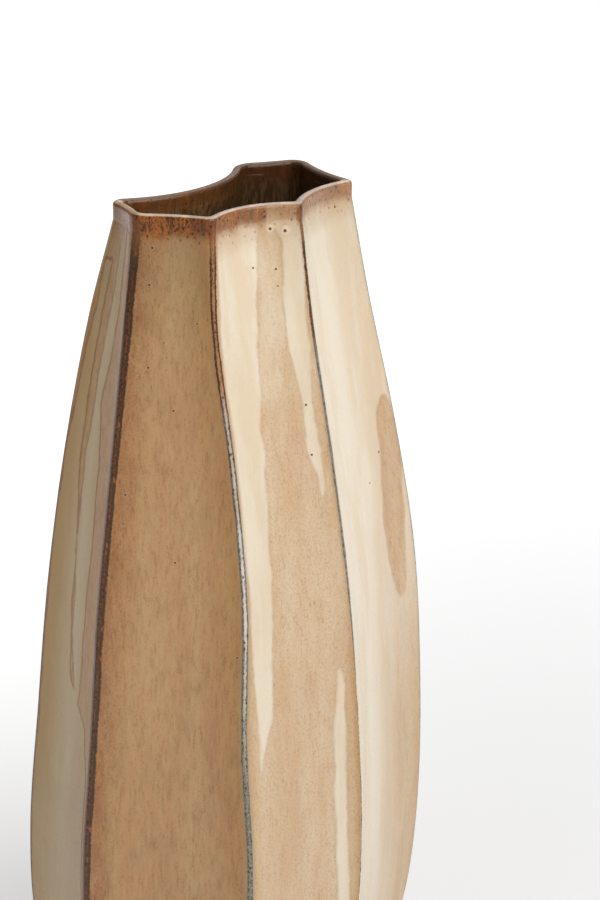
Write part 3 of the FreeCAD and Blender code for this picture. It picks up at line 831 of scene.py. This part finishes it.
# %% Iron rim band
band_edge = scaled(mottle, 9.0, HEIGHT - 15.5)
band_edge = plus(band_edge, times(streak, 4.0))
band_edge = scaled(facts["wash"], 4.0, band_edge)
below = maths(glaze, "SUBTRACT", height, band_edge)
band = times(rise(below, -3.0, 3.0), scaled(facts["wash"], -0.75, 1.0))
iron = paint(rise(mottle, 0.35, 0.6), srgb(178, 106, 42), srgb(134, 76, 30))
iron = paint(rise(grain, 0.48, 0.62), iron, srgb(88, 48, 20))
iron = paint(rise(streak, 0.52, 0.64, 0, 0.8), iron, srgb(62, 36, 20))
color = paint(rise(below, -14.0, 1.0, 0, 0.45), color, srgb(184, 134, 88))
color = paint(band, color, iron)
print("nodes after the band:", len(glaze.nodes))

# %% [markdown]
# ## The inside
# Inside, the glaze is rusty below the lip and turns to a streaked olive. Painted shade makes it
# dark further down and darker still towards the narrow end of the vase.

# %% The inside
deep = rise(height, 368.0, 390.0, 1, 0)
olive = paint(rise(streak, 0.4, 0.6), srgb(96, 76, 48), srgb(160, 140, 104))
# painted shade deeper down in the cavity
olive = paint(rise(height, 330.0, 384.0, 0.85, 0), olive, srgb(40, 28, 18))
rust = paint(rise(streak, 0.4, 0.6), srgb(94, 62, 34), srgb(132, 100, 66))
inner_band = paint(0.6, iron, srgb(84, 50, 26))
inner_tone = paint(band, paint(deep, rust, olive), inner_band)
# painted shade towards the far side of the inside
far_side_painted_shade = rise(parts.outputs["X"], -0.02, 0.03, 0.0, 0.6)
inner_tone = paint(far_side_painted_shade, inner_tone, srgb(44, 26, 12))
color = paint(facts["inside"], color, inner_tone)
print("nodes after the inside:", len(glaze.nodes))

# %% [markdown]
# ## Specks, pinholes and the crest
# Dark iron specks sit thickly on the rim and the ridges, and rust freckles beside ridge b. Each
# pinhole is a dark dot in a paler ring. The very top of the lip is glazed brown, and over it a
# pale painted highlight is strong at the front of the vase and faint at the back.

# %% Specks, pinholes and the crest
where = maths(glaze, "MAXIMUM", band, times(line, 0.8))
where = maths(glaze, "MAXIMUM", where, rise(below, -10.0, 0.0, 0, 0.5))
color = paint(times(specks, where), color, srgb(58, 36, 24))
rusty = times(freckles, maths(glaze, "MAXIMUM", facts["warm"], rise(cloud, 0.5, 0.7, 0.0, 0.3)))
rusty = times(rusty, scaled(runs, -0.8, 1.0))
color = paint(rusty, color, srgb(150, 92, 56))
color = paint(times(holes["Halo"], 0.45), color, srgb(240, 222, 200))
color = paint(holes["Hole"], color, srgb(112, 68, 38))
top_edge = rise(height, HEIGHT - 0.8, HEIGHT - 0.2)
color = paint(times(top_edge, 0.8), color, srgb(104, 58, 24))
# pale painted highlight along the top of the lip, over its brown glaze
lip_highlight = times(top_edge, rise(mottle, 0.3, 0.6, 1.0, 0.7))
color = paint(times(lip_highlight, facts["lip_highlight"]), color, srgb(240, 220, 204))
print("nodes after the specks:", len(glaze.nodes))

# %% [markdown]
# ## Khaki panels and painted shade
# The panels with outlined tongues are partly a khaki glaze and partly painted shade, deeper beside
# the ridge and towards the foot. Multiplying the finished colour keeps the tongues and lines visible.
# A fainter painted shade lies on the tan panels just below the band.

# %% Khaki panels
# painted shade on the khaki panels, deeper beside the ridge and towards the foot
khaki_painted_shade = times(facts["outline"], maths(glaze, "SUBTRACT", 1.0, facts["inside"]))
shade = paint(rise(facts["away"], 6.0, 26.0), (0.80, 0.62, 0.33, 1), (1.0, 0.95, 0.83, 1))
shade = paint(rise(height, 60.0, 220.0, 0.7, 0), shade, (0.72, 0.64, 0.50, 1))
color = paint(khaki_painted_shade, color, shade, "MULTIPLY")
# fainter painted shade on the tan panels just below the band
top_painted_shade = times(rise(height, 340.0, 392.0, 0, 0.6), facts["tint_and_shade"])
top_painted_shade = times(top_painted_shade, maths(glaze, "SUBTRACT", 1.0, band))
color = paint(top_painted_shade, color, (0.74, 0.76, 0.74, 1), "MULTIPLY")
wire(glaze, out["Color"], color)
print("nodes after the khaki:", len(glaze.nodes))

# %% [markdown]
# ## Shine and relief
# The glaze is satin, a little glossier where it is rich in iron. The relief is in millimetres:
# the tongues stand proud by a hair, and the broad cloud keeps reflections slightly wavy, as on
# a surface that was pressed by hand.

# %% Shine and relief
shine = rise(grain, 0.3, 0.7, 0.26, 0.36)
shine = scaled(line, -0.10, shine)
wire(glaze, out["Roughness"], scaled(band, -0.06, shine))
relief = times(runs, 0.15)
for bump_mask, depth in (
    (grain, 0.05), (mottle, 0.25), (cloud, 1.6), (line, 0.12), (specks, times(where, -0.08)),
    (holes["Hole"], -0.2), (holes["Halo"], 0.3),
):
    relief = scaled(bump_mask, depth, relief)
wire(glaze, out["Height"], relief)
print("glaze nodes:", len(glaze.nodes))

# %% [markdown]
# ## Glaze materials
# The materials hold the shader itself. Glaze is a thin, satin layer of glass over a coloured
# body. A glass shader over clay would be truer, but slow and grainy, and a coloured base with a
# faint clear coat looks the same from any distance at which one sees a vase. The body and the
# rim use the same group, so the iron band runs on from one piece to the other.

# %% Glaze materials
def fresh_material(name):
    material = bpy.data.materials.new(name)
    material.use_nodes = True
    tree = material.node_tree
    shader = next(node for node in tree.nodes if node.type == "BSDF_PRINCIPLED")
    return material, tree, shader


def bump(tree, height, strength=1.0):
    """Normal from a height given in millimetres."""
    node = tree.nodes.new("ShaderNodeBump")
    wire(tree, node.inputs["Strength"], strength)
    wire(tree, node.inputs["Distance"], MM)
    wire(tree, node.inputs["Height"], height)
    return node.outputs["Normal"]


def glazed(name, coat, coat_roughness):
    material, tree, shader = fresh_material(name)
    look = use(tree, glaze)
    wire(tree, shader.inputs["Base Color"], look["Color"])
    wire(tree, shader.inputs["Roughness"], look["Roughness"])
    wire(tree, shader.inputs["Specular IOR Level"], 0.3)
    wire(tree, shader.inputs["Coat Weight"], coat)
    wire(tree, shader.inputs["Coat Roughness"], coat_roughness)
    wire(tree, shader.inputs["Normal"], bump(tree, look["Height"]))
    return material


wall.data.materials.append(glazed("satin body glaze", 0.12, 0.12))
rim.data.materials.append(glazed("iron rim glaze", 0.12, 0.12))

print("glazes:", [slot.name for thing in (wall, rim) for slot in thing.data.materials])

# %% [markdown]
# ## Bare clay
# Unglazed stoneware is dry, rough and sandy, with iron specks. It reflects almost nothing, so a
# high roughness and the shared grain are enough.

# %% Bare clay
clay, tree, shader = fresh_material("bare stoneware")
fired = use(tree, kiln)
tone = mix(tree, ramp(tree, fired["Grain"], 0.35, 0.65), srgb(168, 140, 112), srgb(196, 170, 140))
wire(tree, shader.inputs["Base Color"], mix(tree, fired["Specks"], tone, srgb(96, 68, 48)))
wire(tree, shader.inputs["Roughness"], 0.85)
wire(tree, shader.inputs["Normal"], bump(tree, fired["Grain"], 0.3))
foot.data.materials.append(clay)
print("materials:", [material.name for material in bpy.data.materials])

# %% [markdown]
# ## Floor
# The vase stands on a wide white floor that glows. To camera rays the glow is painted darker near
# the vase as painted shade and brighter further away, and it is painted a little greyer to the right.
# For other rays it glows more towards the back and lights the vase like a lamp. Its own colour still takes
# the shadow of the vase.

# %% Floor
CAMERA_TURN = math.radians(30)
bpy.ops.mesh.primitive_plane_add(size=16.0)
floor = bpy.context.object
floor.name = "floor"
white, tree, shader = fresh_material("white floor")
spot = tree.nodes.new("ShaderNodeSeparateXYZ")
wire(tree, spot.inputs[0], tree.nodes.new("ShaderNodeTexCoord").outputs["Object"])
# how far back a point of the floor lies, and further down how far to the right, for the camera
back = maths(tree, "MULTIPLY_ADD", spot.outputs["X"], math.sin(CAMERA_TURN),
             maths(tree, "MULTIPLY", spot.outputs["Y"], math.cos(CAMERA_TURN)))
wire(tree, shader.inputs["Base Color"], (0.86, 0.86, 0.86, 1))
wire(tree, shader.inputs["Roughness"], 0.9)
wire(tree, shader.inputs["Specular IOR Level"], 0.1)
wire(tree, shader.inputs["Emission Color"], (1, 1, 1, 1))
side = maths(tree, "MULTIPLY_ADD", spot.outputs["X"], math.cos(CAMERA_TURN),
             maths(tree, "MULTIPLY", spot.outputs["Y"], -math.sin(CAMERA_TURN)))
distance = tree.nodes.new("ShaderNodeVectorMath")
distance.operation = "LENGTH"
wire(tree, distance.inputs[0], tree.nodes.new("ShaderNodeTexCoord").outputs["Object"])
# glow for rays other than camera rays, stronger further back; it lights the vase like a lamp
glow_for_other_rays = ramp(tree, back, -0.3, 1.0, 0.2, 0.9)
# painted shade: the camera sees the glow darker near the vase
glow_for_camera = ramp(tree, distance.outputs["Value"], 0.0, 1.2, 0.33, 0.9)
camera_ray = tree.nodes.new("ShaderNodeLightPath").outputs["Is Camera Ray"]
glow = maths(tree, "MULTIPLY_ADD", camera_ray, maths(tree, "SUBTRACT", glow_for_camera, glow_for_other_rays), glow_for_other_rays)
# painted shade: a little greyer to the right, for all rays
glow = maths(tree, "ADD", glow, ramp(tree, side, -0.3, 0.3, 0.12, -0.14))
wire(tree, shader.inputs["Emission Strength"], glow)
floor.data.materials.append(white)
print("floor size in m:", tuple(round(value, 1) for value in floor.dimensions))

# %% [markdown]
# ## World and lamps
# A large soft lamp to the right of the camera makes the front panels bright and leaves the left
# ones darker, and a weak one above lifts the lip. The world is dim for the surfaces that it
# lights, a little brighter in reflections, and white where the camera looks straight at it.

# %% World and lamps
world = bpy.data.worlds.new("studio")
bpy.context.scene.world = world
world.use_nodes = True
background = world.node_tree.nodes["Background"]
wire(world.node_tree, background.inputs["Color"], (1, 1, 1, 1))
rays = world.node_tree.nodes.new("ShaderNodeLightPath").outputs
mirrored = maths(world.node_tree, "MULTIPLY_ADD", rays["Is Glossy Ray"], 0.10, 0.24)
shown = maths(world.node_tree, "MULTIPLY_ADD", rays["Is Camera Ray"], 0.76, mirrored)
wire(world.node_tree, background.inputs["Strength"], shown)


def area_lamp(name, azimuth, elevation, distance, size, power):
    """Square soft light that looks at the middle of the vase."""
    aim = Vector((0, 0, 0.2))
    a, e = math.radians(azimuth), math.radians(elevation)
    where = aim + distance * Vector((math.cos(a) * math.cos(e), math.sin(a) * math.cos(e), math.sin(e)))
    data = bpy.data.lights.new(name, "AREA")
    data.size = size
    data.energy = power
    lamp = bpy.data.objects.new(name, data)
    bpy.context.scene.collection.objects.link(lamp)
    lamp.location = where
    lamp.rotation_euler = (aim - where).to_track_quat("-Z", "Y").to_euler()
    return lamp


# degrees around and up, distance and size in metres, power in watts
area_lamp("key", 286, 42, 1.6, 1.3, 19.0)
area_lamp("top", 240, 80, 1.8, 1.0, 3.0)

# %% [markdown]
# ## Camera
# The camera stands in front and a little to the left, higher than the lip, and looks down by
# twenty degrees. Its long lens keeps the ridges nearly parallel, as in the photo.

# %% Camera
camera_data = bpy.data.cameras.new("camera")
camera_data.lens = 120.0
camera_data.sensor_width = 36.0
camera_data.sensor_height = 36.0
camera_data.sensor_fit = "VERTICAL"
camera = bpy.data.objects.new("camera", camera_data)
bpy.context.scene.collection.objects.link(camera)
camera.location = (-0.5948, -1.1010, 0.7374)
camera.rotation_euler = (math.radians(70), 0, -CAMERA_TURN)
bpy.context.scene.camera = camera
bpy.context.scene.view_settings.view_transform = "Standard"
print("camera at:", [round(value, 3) for value in camera.location])
